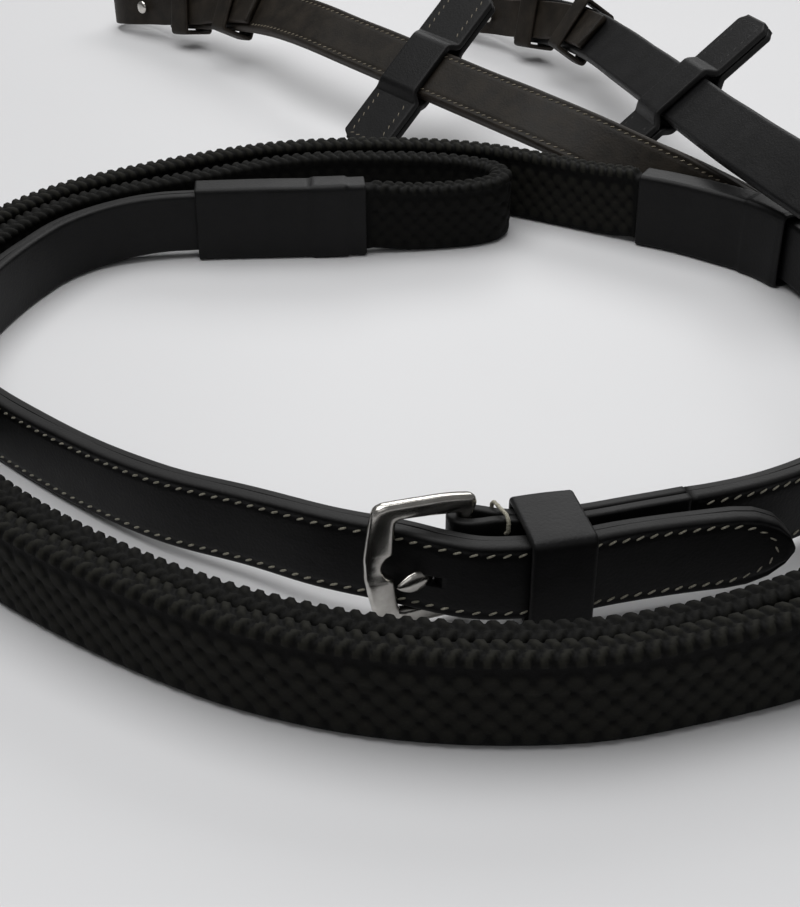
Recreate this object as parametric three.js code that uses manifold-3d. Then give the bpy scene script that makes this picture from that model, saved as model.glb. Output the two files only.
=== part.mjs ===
import * as THREE from "three";
import { mergeVertices } from "three/addons/utils/BufferGeometryUtils.js";
import Module from "manifold-3d";

// A pair of riding reins laid out on a table: two halves joined by a centre buckle. Each half is
// centre leather, a rubber hand grip sewn round a leather core, cheek leather with a rein stop,
// and a billet that hooks to the bit. The straps stand on edge, so their width is vertical.
// Millimetres, +Z up, origin on the table under the middle of the layout.

const ORIGIN = [-10.3, -456.4, 0.1]; // moves the layout so its middle is over the origin

const STRAP_WIDTH = 19;
const FACE_THICK = 2.6;
const LINING_THICK = 2.2;
const PLY_GAP = 0.45;
const LAYER_GAP = 0.3;
const STRAP_THICK = FACE_THICK + PLY_GAP + LINING_THICK;
const FACE_MIDDLE = (STRAP_THICK - FACE_THICK) / 2; // layer offsets from the strap's own middle
const LINING_MIDDLE = -(STRAP_THICK - LINING_THICK) / 2;

const GRIP_WIDTH = 21;
const GRIP_THICK = 6.5;
const CORE_WIDTH = 16;
const CORE_THICK = 2.4;
const WRAP_WALL = 1.2;
const WRAP_WIDTH = GRIP_WIDTH + 2 * (WRAP_WALL + LAYER_GAP);
const WRAP_THICK = GRIP_THICK + 2 * (WRAP_WALL + LAYER_GAP);
const WRAP_LENGTH = 52;
const STRAIGHT_STEP = 34; // length of one facet where a strap runs straight
const BEND_STEP = (18 * Math.PI) / 180; // turn between facets where it bends
const TWIST_STEP = (2.3 * Math.PI) / 180; // and where its width tilts

const STOP_LENGTH = 72;
const STOP_WIDTH = 22;
const STOP_THICK = 2.3;
const SLIDE_GAP = 0.4;

const BILLET_WIDTH = 15.5;
const BILLET_THICK = 2.4;
const BILLET_GAP = 0.5;
const BILLET_SEWN = 66; // overlap on the cheek strap
const BILLET_EYE = 36; // how far the eye for the bit ring reaches past the cheek strap

const BUCKLE_BAR = 3; // diameter of the hinge bar
const BUCKLE_THICK = 2.8;
const BUCKLE_HEIGHT = 30;

// Routes as x, y, height of the strap's middle, and lean in degrees (top towards the left of travel).
// The point half's centre leather runs from its point, through the buckle, to the inner wrap.
const POINT_CENTRE = [
  [85.5, 264, 14.5, 0], [74, 262, 15, 0], [60, 259, 15.3, 0], [46.2, 255.6, 15.3, 0],
  [34, 251.9, 15.3, 0], [25.5, 250.5, 15.3, 0], [16.5, 250.2, 15.3, 0], [9.3, 252.1, 15.3, -1],
  [0, 255.8, 15.3, -3], [-16.4, 261.8, 15, -2], [-33.8, 271.5, 13.8, 0], [-53.8, 282.5, 12, 0],
  [-74.9, 298.5, 10.5, 0], [-99.3, 320.6, 9.7, 0], [-113, 336, 9.5, 0], [-119.5, 352, 9.5, 0],
  [-121, 368, 9.5, 0], [-119.5, 384, 9.5, 0], [-116, 398, 9.5, 0], [-111, 412, 9.5, 0],
  [-104.5, 424.5, 9.8, 0], [-95, 434, 10.2, 0], [-84, 438.9, 11.4, 0], [-75, 441, 12, 0], [-66, 442.3, 12, 0],
  [-52, 443.4, 12, 0], [-38.5, 444.2, 12, 0],
];
const POINT_GRIP = [
  [-37, 444.3, 12, 0], [-23, 445, 12, 0], [-9, 446.2, 12, 0], [3, 447.5, 10.8, 0],
  [14, 449.2, 10.5, 0], [24, 451.6, 10.5, 0], [30.8, 455.8, 10.5, 0], [32.8, 461.6, 10.5, 0],
  [29.4, 467.6, 10.5, 0], [21, 472, 10.5, 0], [9, 474.8, 10.5, 0], [-8, 475.8, 10.5, 0],
  [-24, 475.4, 10.5, 0],
  [-40, 471.6, 10.5, 0], [-55, 464.6, 10.5, 0], [-71, 456.4, 10.5, 0], [-84, 450, 10.5, 0],
  [-95, 443.6, 10.5, 0], [-105, 435.5, 10.5, 0], [-113, 425, 10.5, 0], [-119.5, 412, 10.5, 0],
  [-124, 398, 10.5, 0], [-127.5, 384, 10.5, 0], [-129, 368, 10.5, 0], [-127.5, 350, 10.5, 0],
  [-121, 328, 10.5, 0], [-111, 306, 10.5, 0], [-98, 286, 10.5, 0], [-83, 270.5, 10.5, 0],
  [-66, 257, 10.5, 0], [-48.5, 245.6, 10.5, 0], [-32.5, 237.3, 10.5, 0], [-17.2, 231.5, 10.5, 0],
  [-2.6, 227.9, 10.5, 0], [15.9, 225.9, 10.5, 0], [37.8, 226.9, 10.5, 0], [56.5, 231.6, 10.5, 0],
  [78, 240, 11, 0], [92, 247.4, 12, 0], [103, 255.4, 12, 0], [114, 265, 12, 0],
];
const POINT_CHEEK = [
  [115.2, 266.4, 12, 0], [126, 279, 12, 0], [133, 289.5, 12, 0], [139, 302, 10.6, 0],
  [143.5, 318, 9.5, 0], [145.4, 340, 9.5, 0], [144.2, 362, 9.5, 0], [141, 384, 9.5, 0],
  [135.8, 406, 9.5, 0],
  [127.5, 428, 9.5, 0], [115, 446, 9.7, 0], [102, 458.5, 12.3, -12], [88.2, 469.6, 15.5, -24],
  [73, 482, 18.7, -36], [58.6, 493.5, 21.9, -46], [46, 504, 24, -50], [33.2, 518, 25, -50],
  [20.3, 532, 26, -50], [-5.3, 560, 28, -50], [-18.2, 574, 29, -50], [-31, 588, 30, -50],
  [-44.5, 607, 28.9, -46], [-58, 627.5, 25.8, -38], [-72.5, 646.5, 21.8, -27],
  [-87, 661.5, 17.8, -15], [-101.5, 673.5, 14.8, -6],
];
const CHAPE_CENTRE = [
  [14, 259.4, 15.3, 5], [22, 259.3, 15.3, 5], [30, 259.7, 15.3, 3], [42, 262.2, 15.3, 1],
  [55, 266.6, 15.3, 0], [68, 270.4, 15.2, 0], [80, 275.4, 14.8, 0], [91, 282.4, 14, 0],
  [102, 292, 12.8, 0], [113, 305, 11.4, 0], [122, 321, 10.2, 0], [128.5, 340, 9.5, 0],
  [131, 362, 9.5, 0], [130, 383, 9.5, 0], [126.5, 402, 10.4, 0], [119, 420, 12, 0],
  [111, 431.5, 12, 0], [102, 439, 12, 0],
];
const CHAPE_GRIP = [
  [100.4, 440.2, 12, 0], [91, 447, 12, 0], [79, 453.6, 12, 0], [67.5, 460, 10.8, 0],
  [54, 467.4, 10.5, 0], [41, 474.4, 10.5, 0], [27, 480.4, 10.5, 0], [10, 484, 10.5, 0],
  [-8, 485, 10.5, 0], [-24, 484.2, 10.5, 0], [-42, 481, 10.5, 0], [-57, 475.4, 10.5, 0],
  [-74.6, 466.4, 10.5, 0], [-88.4, 458.2, 10.5, 0], [-100.4, 450, 10.5, 0], [-111, 440, 10.5, 0],
  [-119.8, 428, 10.5, 0], [-127, 414.4, 10.5, 0], [-132, 399.6, 10.5, 0], [-135.4, 385, 10.5, 0],
  [-137, 368, 10.5, 0], [-135.6, 349, 10.5, 0], [-130, 326, 10.5, 0], [-121, 303, 10.5, 0],
  [-106.5, 281.5, 10.5, 0], [-87.5, 264, 10.5, 0], [-70, 250.7, 10.5, 0], [-51.5, 238.8, 10.5, 0],
  [-35, 230.1, 10.5, 0], [-19.2, 224.2, 10.5, 0], [-3.5, 220.4, 10.5, 0], [16, 218.4, 10.5, 0],
  [38.7, 219.4, 10.5, 0], [58.3, 224.2, 10.5, 0], [80.1, 231.2, 11, 0], [97, 238.2, 12, 0],
  [110, 246, 12, 0], [122, 255, 12, 0],
];
const CHAPE_CHEEK = [
  [123.6, 256.5, 12, 0], [135, 268, 12, 0], [141, 276.4, 12, 0], [148.5, 290, 11.6, 0],
  [154.8, 306, 14.6, 0], [157.2, 326, 21.5, -4], [154, 345, 28.6, -13], [146, 362.5, 32.8, -24],
  [136, 379, 34.8, -34], [126.5, 397, 35.8, -42], [119, 415.5, 36, -46], [112.6, 434, 35.8, -49],
  [107.2, 453, 35, -50], [103.1, 475, 33.1, -50], [99, 497, 31.3, -50], [94.9, 519, 29.4, -50],
  [90.8, 541, 27.6, -50], [86.7, 563, 25.7, -50], [82.6, 585, 23.9, -49], [78, 606, 21.8, -43],
  [71.4, 626, 19.4, -32], [62.4, 643, 16.8, -19], [52, 656, 14.6, -7],
];

const RAD = Math.PI / 180;
const UP = new THREE.Vector3(0, 0, 1);
const HINGE = new THREE.Vector3(14, 259.4, 15.7); // middle of the hinge bar
const BUCKLE_TURN = 25 * RAD; // turn of the frame about the vertical
const BUCKLE_LEAN = 4 * RAD;
const TONGUE_TURN = 6 * RAD; // turn of the tongue out of the frame's plane, toward the front
const CHAPE_THICK = 2.45;
const CHAPE_LEG = 49; // from the hinge bar to the end of the folded leather
const CENTRE_APART = 9; // between the middles of the two straps at the centre keeper
const KEEPER_AT = 50.5; // place of the centre keeper along the pointed strap
const KEEPER_LENGTH = 12;
const THREAD_PLACE = 8.5; // the pale thread's distance from the hinge bar
const LOOP_WALL = 1.6;
const LOOP_GAP = 0.7;
const LOOP_LENGTH = 10;
const POINT_STOP_AT = 343; // places of the rein stops along the cheek straps
const CHAPE_STOP_AT = 276;
const STUD_PLACE = 12; // past the end of the cheek strap
const STUD_OFF = 2.2; // of its plate, to the left of the strap's middle

// The fold of the chape round the hinge bar: distance from the bar, then off to the left.
const FOLD = [
  [CHAPE_LEG, -1.38], [36, -1.38], [24, -1.38], [12, -1.4], [6.5, -1.75], [3, -2.75], [0, -3.15],
  [-2.3, -2.2], [-3.2, 0], [-2.3, 2.2], [0, 3.15], [3, 2.75], [6.5, 1.75], [12, 1.4], [24, 1.38],
  [36, 1.38], [CHAPE_LEG, 1.38],
];

// The eye of a billet: distance past the end of the cheek strap, then off to the left.
const EYE = [
  [10, 4.6], [18, 6], [26, 6.4], [32, 5], [35.4, 2.4], [36, 0], [35.4, -2.4], [32, -5], [26, -6.4],
  [18, -6], [10, -4.6],
];

// What is cut away above the point of the punched strap, in x and in height over the strap's middle.
const POINT_CUT = [
  [70, 9.6], [75, 8.9], [79.5, 7], [83, 3.6], [84.6, 0], [90, 0], [90, 14], [70, 14],
];

// A strap's middle line whose frames keep the width upright, turned by the lean given at each point.
class StrapPath extends THREE.CatmullRomCurve3 {
  constructor(points) {
    super(points.map(([x, y, z]) => new THREE.Vector3(x, y, z)), false, "centripetal");
    this.rows = points;
    this.leans = points.map((p) => p[3] * RAD);
    this.arcLengthDivisions = 600;
  }
  leanAt(u) {
    const place = this.getUtoTmapping(u) * (this.leans.length - 1);
    const i = Math.min(Math.floor(place), this.leans.length - 2);
    const share = place - i;
    const smooth = share * share * (3 - 2 * share);
    return this.leans[i] * (1 - smooth) + this.leans[i + 1] * smooth;
  }
  frameAt(u) {
    const along = this.getTangentAt(u);
    const left = new THREE.Vector3().crossVectors(UP, along).normalize();
    const upright = new THREE.Vector3().crossVectors(along, left);
    const lean = this.leanAt(u);
    const width = upright.clone().multiplyScalar(Math.cos(lean)).addScaledVector(left, Math.sin(lean));
    const side = left.clone().multiplyScalar(Math.cos(lean)).addScaledVector(upright, -Math.sin(lean));
    return { along, side, width };
  }
  computeFrenetFrames(segments) {
    const frames = { tangents: [], normals: [], binormals: [] };
    for (const u of this.spread(segments)) {
      const { along, side, width } = this.frameAt(u);
      frames.tangents.push(along);
      frames.normals.push(side);
      frames.binormals.push(width);
    }
    return frames;
  }
  // Shares of the length at which the facets meet, closer together where the path bends.
  spread(steps) {
    const fine = 500;
    const reach = [0];
    let before = this.frameAt(0);
    for (let i = 1; i <= fine; i++) {
      const now = this.frameAt(i / fine);
      const twist = before.width.angleTo(now.width) / TWIST_STEP;
      const turned = before.along.angleTo(now.along) / BEND_STEP;
      reach.push(reach[i - 1] + this.getLength() / fine / STRAIGHT_STEP + turned + twist);
      before = now;
    }
    if (!steps) return Math.min(80, Math.max(2, Math.ceil(reach[fine])));
    const shares = [];
    let at = 0;
    for (let i = 0; i <= steps; i++) {
      const want = (reach[fine] * i) / steps;
      while (at < fine - 1 && reach[at + 1] < want) at++;
      shares.push((at + (want - reach[at]) / (reach[at + 1] - reach[at])) / fine);
    }
    shares[0] = 0;
    shares[steps] = 1;
    return shares.map((u) => Math.min(1, Math.max(0, u)));
  }
  getSpacedPoints(steps) {
    return this.spread(steps).map((u) => this.getPointAt(u));
  }
}

// The stretch of a path between two lengths along it, as a path of its own.
function stretch(path, from, to) {
  const total = path.getLength();
  const count = Math.max(3, Math.round((to - from) / 6));
  const points = [];
  for (let i = 0; i <= count; i++) {
    const u = Math.min(1, Math.max(0, (from + ((to - from) * i) / count) / total));
    const p = path.getPointAt(u);
    points.push([p.x, p.y, p.z, path.leanAt(u) / RAD]);
  }
  return new StrapPath(points);
}

// A rectangle with cut corners, thick across x and wide across y, moved sideways by x.
function slab(thick, width, cut, x = 0) {
  const a = thick / 2;
  const b = width / 2;
  const outline = [
    [-a + cut, -b], [a - cut, -b], [a, -b + cut], [a, b - cut],
    [a - cut, b], [-a + cut, b], [-a, b - cut], [-a, -b + cut],
  ];
  return outline.map(([px, py]) => new THREE.Vector2(px + x, py));
}

function box2d(thick, width, x = 0) {
  return slab(thick, width, 0, x).filter((_, i) => i % 2 === 0);
}

function sweep(path, outline, hole, steps = path.spread()) {
  const shape = new THREE.Shape(outline);
  if (hole) shape.holes.push(new THREE.Path(hole));
  return new THREE.ExtrudeGeometry(shape, { extrudePath: path, steps, curveSegments: 4 });
}

const wasm = await Module();
wasm.setup();

function solid(geometry) {
  const bare = geometry.clone();
  bare.deleteAttribute("normal");
  bare.deleteAttribute("uv");
  const merged = mergeVertices(bare, 1e-4);
  return new wasm.Manifold(
    new wasm.Mesh({
      numProp: 3,
      vertProperties: merged.attributes.position.array,
      triVerts: new Uint32Array(merged.index.array),
    }),
  );
}

function geometryOf(made) {
  const mesh = made.getMesh();
  return new THREE.BufferGeometry()
    .setAttribute("position", new THREE.BufferAttribute(new Float32Array(mesh.vertProperties), 3))
    .setIndex(new THREE.BufferAttribute(new Uint32Array(mesh.triVerts), 1));
}

const FINISHES = {
  leather: [0x16161a, 0.5, 0],
  darkLeather: [0x1b1714, 0.55, 0],
  rubber: [0x20211c, 0.85, 0],
  steel: [0xc9c6c0, 0.2, 1],
  thread: [0xd8d2b8, 0.8, 0],
};

function piece(name, geometry, finish) {
  const [color, roughness, metalness] = FINISHES[finish];
  const mesh = new THREE.Mesh(geometry, new THREE.MeshStandardMaterial({ color, roughness, metalness }));
  mesh.name = name;
  return mesh;
}

const layout = new THREE.Group();
layout.position.set(...ORIGIN);

// Layers of a sewn strap. The dressed face is on the left of travel for faceSide 1, else on the right.
function layers(name, path, faceSide) {
  const face = slab(FACE_THICK, STRAP_WIDTH, 0.5, FACE_MIDDLE * faceSide);
  const lining = box2d(LINING_THICK, STRAP_WIDTH, LINING_MIDDLE * faceSide);
  return { [`${name}_face`]: sweep(path, face), [`${name}_lining`]: sweep(path, lining) };
}

function addLayers(made, finish) {
  Object.entries(made).forEach(([name, geometry]) => layout.add(piece(name, geometry, finish)));
}

function grip(name, points) {
  const path = new StrapPath(points);
  const hole = box2d(CORE_THICK + 2 * LAYER_GAP, CORE_WIDTH + 2 * LAYER_GAP).reverse();
  layout.add(piece(`${name}_grip_core`, sweep(path, box2d(CORE_THICK, CORE_WIDTH)), "leather"));
  layout.add(piece(`${name}_grip_rubber`, sweep(path, slab(GRIP_THICK, GRIP_WIDTH, 1.3), hole), "rubber"));
  return path;
}

// A leather wrap that covers the join of two straps, half on each.
function wrap(name, before, after) {
  const reach = WRAP_LENGTH / 2;
  const first = stretch(before, before.getLength() - reach, before.getLength());
  const second = stretch(after, 0, reach);
  const path = new StrapPath([...first.rows, ...second.rows.slice(1)]);
  const hole = box2d(GRIP_THICK + 2 * LAYER_GAP, GRIP_WIDTH + 2 * LAYER_GAP).reverse();
  layout.add(piece(name, sweep(path, slab(WRAP_THICK, WRAP_WIDTH, 1.5), hole), "leather"));
}

// A mesh drawn in a strap's own axes at one place: x to the left side, y across the width, z along.
function addOnStrap(mesh, path, length) {
  const share = length / path.getLength();
  const { along, side, width } = path.frameAt(share);
  mesh.position.copy(path.getPointAt(share));
  mesh.quaternion.setFromRotationMatrix(new THREE.Matrix4().makeBasis(side, width, along));
  layout.add(mesh);
}

// Half of a rein stop: a strip flat at both tabs that steps out round the strap between them.
function stopHalf(side) {
  const clear = LAYER_GAP / 2;
  const out = STRAP_THICK / 2 + SLIDE_GAP;
  const half = STRAP_WIDTH / 2 + SLIDE_GAP;
  const ramp = half + 4;
  const end = STOP_LENGTH / 2;
  const inner = [[-end, clear], [-ramp, clear], [-half, out], [half, out], [ramp, clear], [end, clear]];
  const outer = inner.map(([across, off]) => [across, off + STOP_THICK]).reverse();
  const outline = [...inner, ...outer].map(([across, off]) => new THREE.Vector2(off * side, across));
  const shape = new THREE.Shape(outline);
  const made = new THREE.ExtrudeGeometry(shape, { depth: STOP_WIDTH, bevelEnabled: false });
  return made.translate(0, 0, -STOP_WIDTH / 2);
}

function stop(name, path, length) {
  addOnStrap(piece(`${name}_stop_front`, stopHalf(1), "leather"), path, length);
  addOnStrap(piece(`${name}_stop_back`, stopHalf(-1), "leather"), path, length);
}

// A leather loop round straps whose bundle is thick by wide, moved sideways by shift.
function loopOnStrap(name, path, at, thick, wide, shift = 0, length = LOOP_LENGTH) {
  const wall = LOOP_WALL + LOOP_GAP;
  const shape = new THREE.Shape(slab(thick + 2 * wall, wide + 2 * wall, 1.4, shift));
  shape.holes.push(new THREE.Path(box2d(thick + 2 * LOOP_GAP, wide + 2 * LOOP_GAP, shift).reverse()));
  const made = new THREE.ExtrudeGeometry(shape, { depth: length, bevelEnabled: false });
  addOnStrap(piece(name, made.translate(0, 0, -length / 2), "leather"), path, at);
}

// A point level with a length along a strap, off to its left; past the end it runs straight on.
function besideStrap(path, length, off) {
  const total = path.getLength();
  const share = Math.min(1, Math.max(0, length / total));
  const { along, side, width } = path.frameAt(share);
  const beyond = length - share * total;
  const point = path.getPointAt(share).addScaledVector(along, beyond).addScaledVector(side, off);
  return { point, width, side, along, lean: path.leanAt(share) / RAD };
}

// A band of constant section through points beside a strap, its width kept with the strap's.
class BandPath extends StrapPath {
  constructor(spots) {
    super(spots.map((spot) => [...spot.point.toArray(), spot.lean]));
    this.widths = spots.map((spot) => spot.width);
    this.arcLengthDivisions = 900;
  }
  frameAt(u) {
    const along = this.getTangentAt(u);
    const spot = this.getUtoTmapping(u) * (this.widths.length - 1);
    const i = Math.min(Math.floor(spot), this.widths.length - 2);
    const guide = this.widths[i].clone().lerp(this.widths[i + 1], spot - i);
    const side = new THREE.Vector3().crossVectors(guide, along).normalize();
    return { along, side, width: new THREE.Vector3().crossVectors(along, side) };
  }
}

// The billet is sewn on the cheek's left side, rounds the place of the bit ring and comes back behind.
function billet(name, path) {
  const total = path.getLength();
  const off = STRAP_THICK / 2 + BILLET_GAP + BILLET_THICK / 2;
  const spots = [];
  const add = (length, aside) => spots.push(besideStrap(path, total + length, aside));
  for (let s = -BILLET_SEWN; s < 5; s += 11) add(s, off);
  EYE.forEach(([s, aside]) => add(s, aside));
  for (let s = 0; s >= 6 - BILLET_SEWN; s -= 10) add(s, -off);
  const shape = box2d(BILLET_THICK, BILLET_WIDTH);
  const { point, side, width, along } = besideStrap(path, total + STUD_PLACE, 5);
  const studHole = new THREE.BoxGeometry(3.4, 6, 3.4);
  studHole.applyMatrix4(new THREE.Matrix4().makeBasis(along, side, width).setPosition(point));
  const band = solid(sweep(new BandPath(spots), shape)).subtract(solid(studHole));
  layout.add(piece(`${name}_billet`, geometryOf(band), "leather"));
  const bundle = STRAP_THICK + 2 * (BILLET_THICK + BILLET_GAP);
  loopOnStrap(`${name}_billet_keeper_near`, path, total - 46, bundle, STRAP_WIDTH);
  loopOnStrap(`${name}_billet_keeper_far`, path, total - 12, bundle, STRAP_WIDTH);
  hookStud(name, path, total + STUD_PLACE);
}

// The hook stud: a round plate inside the eye with a post that ends in a wider head outside it.
function hookStud(name, path, length) {
  const plate = new THREE.CylinderGeometry(3.8, 3.8, 1.2, 16);
  const post = new THREE.CylinderGeometry(1.3, 1.3, 5.2, 12).translate(0, 2.8, 0);
  const head = new THREE.CylinderGeometry(2.8, 2.8, 1.2, 16).translate(0, 5.6, 0);
  const made = solid(plate).add(solid(post)).add(solid(head));
  const mesh = piece(`${name}_hook_stud`, geometryOf(made), "steel");
  const { point, side, width, along } = besideStrap(path, length, STUD_OFF);
  mesh.quaternion.setFromRotationMatrix(new THREE.Matrix4().makeBasis(along, side, width));
  mesh.position.copy(point);
  layout.add(mesh);
}

// The frame that holds the buckle: x runs from the hinge bar to the far bar, z up, leaning back.
function buckleFrameOfReference() {
  const group = new THREE.Group();
  const along = new THREE.Vector3(-Math.cos(BUCKLE_TURN), -Math.sin(BUCKLE_TURN), 0);
  const back = new THREE.Vector3().crossVectors(UP, along).negate();
  const up = UP.clone().multiplyScalar(Math.cos(BUCKLE_LEAN)).addScaledVector(back, Math.sin(BUCKLE_LEAN));
  const across = new THREE.Vector3().crossVectors(up, along);
  group.quaternion.setFromRotationMatrix(new THREE.Matrix4().makeBasis(along, across, up));
  group.position.copy(HINGE);
  return group;
}

// A plate drawn in x and z, its thickness along y.
function upright(shape, depth) {
  const made = new THREE.ExtrudeGeometry(shape, { depth, bevelEnabled: false, curveSegments: 6 });
  return made.translate(0, 0, -depth / 2).rotateX(Math.PI / 2);
}

function buckleFrame() {
  const high = BUCKLE_HEIGHT / 2;
  const outline = [
    [-2.6, 12.2], [-1.6, 13.4], [2, 14.2], [10, high - 0.6], [16.5, high], [19.4, 13.6], [22, 8.5],
    [23.3, 3], [23.3, -3], [22, -8.5], [19.4, -13.6], [16.5, -high], [10, 0.6 - high], [2, -14.2],
    [-1.6, -13.4], [-2.6, -12.2], [-2.6, -10.9],
  ];
  const opening = [
    [-1, 10.6], [-1, -10.6], [3, -10.9], [14, -11.6], [16.6, -10.6], [17.2, -3.2], [18.6, -2.6],
    [19.8, -1.2], [20.1, 0], [19.8, 1.2], [18.6, 2.6], [17.2, 3.2], [16.6, 10.6], [14, 11.6], [3, 10.9],
  ];
  const shape = new THREE.Shape([...outline, [-2.6, 10.9]].map(([x, z]) => new THREE.Vector2(x, z)));
  shape.holes.push(new THREE.Path(opening.map(([x, z]) => new THREE.Vector2(x, z))));
  const bar = new THREE.CylinderGeometry(BUCKLE_BAR / 2, BUCKLE_BAR / 2, 2 * 12, 16).rotateX(Math.PI / 2);
  const barGap = new THREE.BoxGeometry(3, 8, 2 * 10.6).translate(-2.4, 0, 0);
  const plate = solid(upright(shape, BUCKLE_THICK)).subtract(solid(barGap));
  return piece("buckle_frame", geometryOf(plate.add(solid(bar))), "steel");
}

// The tongue: an eye on the hinge bar, a round shank and a leaf-shaped end.
function buckleTongue() {
  const shape = new THREE.Shape().absarc(0, 0, 3.3, 0, 2 * Math.PI, false);
  shape.holes.push(new THREE.Path().absarc(0, 0, BUCKLE_BAR / 2 + LAYER_GAP, 0, 2 * Math.PI, true));
  const eye = new THREE.ExtrudeGeometry(shape, { depth: 3, bevelEnabled: false, curveSegments: 8 });
  eye.translate(0, 0, -1.5);
  const shank = new THREE.CylinderGeometry(0.9, 1.2, 10, 10).rotateZ(-Math.PI / 2).translate(7.4, 0, 0);
  const leaf = new THREE.SphereGeometry(1, 12, 8).rotateZ(Math.PI / 2);
  leaf.scale(4.1, 0.9, 2.1).translate(14, 0, 0);
  const mesh = piece("buckle_tongue", geometryOf(solid(eye).add(solid(shank)).add(solid(leaf))), "steel");
  mesh.rotation.z = TONGUE_TURN;
  return mesh;
}

// The chape folds round the hinge bar; both legs run back beside each other to the centre strap.
function chape(path) {
  const spots = FOLD.map(([s, aside]) => besideStrap(path, s, aside));
  const band = solid(sweep(new BandPath(spots), box2d(CHAPE_THICK, STRAP_WIDTH)));
  const slot = new THREE.BoxGeometry(12.5, 14, 5).translate(1.8, 0, -0.3);
  slot.applyMatrix4(buckleParts.matrix);
  const { point, side, width, along } = besideStrap(path, THREAD_PLACE, 0);
  const threadHole = new THREE.BoxGeometry(14, 1.8, 1.8).translate(0, STRAP_WIDTH / 2 - 3.1, 0);
  threadHole.applyMatrix4(new THREE.Matrix4().makeBasis(side, width, along).setPosition(point));
  const cuts = solid(slot).add(solid(threadHole));
  layout.add(piece("chape", geometryOf(band.subtract(cuts)), "leather"));
}

// The pale thread is a closed loop round the top edge of the chape's two legs.
function tackThread(path) {
  const ring = new THREE.Shape(box2d(STRAP_THICK + 3, 5.2));
  ring.holes.push(new THREE.Path(box2d(STRAP_THICK + 1.4, 3.6).reverse()));
  const made = new THREE.ExtrudeGeometry(ring, { depth: 0.9, bevelEnabled: false });
  const mesh = piece("tack_thread", made.translate(0, STRAP_WIDTH / 2 - 1, -0.45), "thread");
  addOnStrap(mesh, path, THREAD_PLACE);
}

const buckleParts = buckleFrameOfReference();
buckleParts.add(buckleFrame());
buckleParts.add(buckleTongue());
buckleParts.updateMatrix();
layout.add(buckleParts);

const pointCentre = new StrapPath(POINT_CENTRE);
const pointGrip = grip("point_half", POINT_GRIP);
const pointCheek = new StrapPath(POINT_CHEEK);
const chapeCentre = new StrapPath(CHAPE_CENTRE);
const chapeGrip = grip("buckle_half", CHAPE_GRIP);
const chapeCheek = new StrapPath(CHAPE_CHEEK);

chape(chapeCentre);
tackThread(chapeCentre);

addLayers(pointed(layers("point_half_centre", pointCentre, 1)), "leather");
const chapeRest = stretch(chapeCentre, CHAPE_LEG + LAYER_GAP, chapeCentre.getLength());
addLayers(layers("buckle_half_centre", chapeRest, -1), "leather");
addLayers(layers("point_half_cheek", pointCheek, 1), "darkLeather");
addLayers(layers("buckle_half_cheek", chapeCheek, -1), "darkLeather");

wrap("point_half_inner_wrap", pointCentre, pointGrip);
wrap("point_half_outer_wrap", pointGrip, pointCheek);
wrap("buckle_half_inner_wrap", chapeCentre, chapeGrip);
wrap("buckle_half_outer_wrap", chapeGrip, chapeCheek);

stop("point_half", pointCheek, POINT_STOP_AT);
stop("buckle_half", chapeCheek, CHAPE_STOP_AT);
billet("point_half", pointCheek);
billet("buckle_half", chapeCheek);

const bundle = STRAP_THICK + CENTRE_APART;
const keeperShift = -CENTRE_APART / 2;
loopOnStrap("centre_keeper", pointCentre, KEEPER_AT, bundle, STRAP_WIDTH, keeperShift, KEEPER_LENGTH);

// The point half ends in a rounded point and has one long hole for the tongue.
function pointed(made) {
  const shape = new THREE.Shape(POINT_CUT.map(([x, z]) => new THREE.Vector2(x, z)));
  const upper = new THREE.ExtrudeGeometry(shape, { depth: 40, bevelEnabled: false });
  upper.rotateX(Math.PI / 2).translate(0, 280, 14.6);
  const lower = upper.clone().translate(0, 0, -14.6).scale(1, 1, -1).translate(0, 0, 14.6);
  const hole = new THREE.CapsuleGeometry(2.5, 5, 4, 10).rotateZ(Math.PI / 2).scale(1, 5, 1);
  hole.rotateZ(-0.36).translate(4, 254.4, 15.5);
  const cuts = solid(upper).add(solid(flipped(lower))).add(solid(hole));
  return Object.fromEntries(
    Object.entries(made).map(([name, geometry]) => [name, geometryOf(solid(geometry).subtract(cuts))]),
  );
}

// A mirrored geometry with its triangles turned back to face outward.
function flipped(geometry) {
  const bare = geometry.index ? geometry.toNonIndexed() : geometry.clone();
  const at = bare.attributes.position.array;
  for (let i = 0; i < at.length; i += 9) {
    for (let k = 0; k < 3; k++) [at[i + 3 + k], at[i + 6 + k]] = [at[i + 6 + k], at[i + 3 + k]];
  }
  return bare;
}

export default layout;
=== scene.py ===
import bpy
import math
import numpy as np
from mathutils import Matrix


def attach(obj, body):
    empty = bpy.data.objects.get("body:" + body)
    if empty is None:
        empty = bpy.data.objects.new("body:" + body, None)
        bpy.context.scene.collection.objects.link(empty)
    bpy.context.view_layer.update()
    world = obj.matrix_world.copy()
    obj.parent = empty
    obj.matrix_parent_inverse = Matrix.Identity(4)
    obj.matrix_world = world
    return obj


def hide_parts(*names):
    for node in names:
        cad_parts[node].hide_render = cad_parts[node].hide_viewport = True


# A pair of leather reins with rubber grips, laid out on a pale table and standing on edge.
# Meshes are in metres. Settings are in millimetres and degrees; milli turns them into metres.
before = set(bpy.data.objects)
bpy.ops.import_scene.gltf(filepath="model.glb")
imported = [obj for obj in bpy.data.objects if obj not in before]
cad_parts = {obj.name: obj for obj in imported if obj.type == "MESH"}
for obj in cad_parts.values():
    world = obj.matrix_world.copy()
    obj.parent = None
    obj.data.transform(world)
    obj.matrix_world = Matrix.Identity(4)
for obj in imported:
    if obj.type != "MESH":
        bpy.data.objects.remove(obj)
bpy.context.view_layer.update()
print("frame loaded")

milli = 0.001
tableShift = np.array([-10.3, -456.4, 0.1])  # moves the laid-out routes over the origin, in mm


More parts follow.
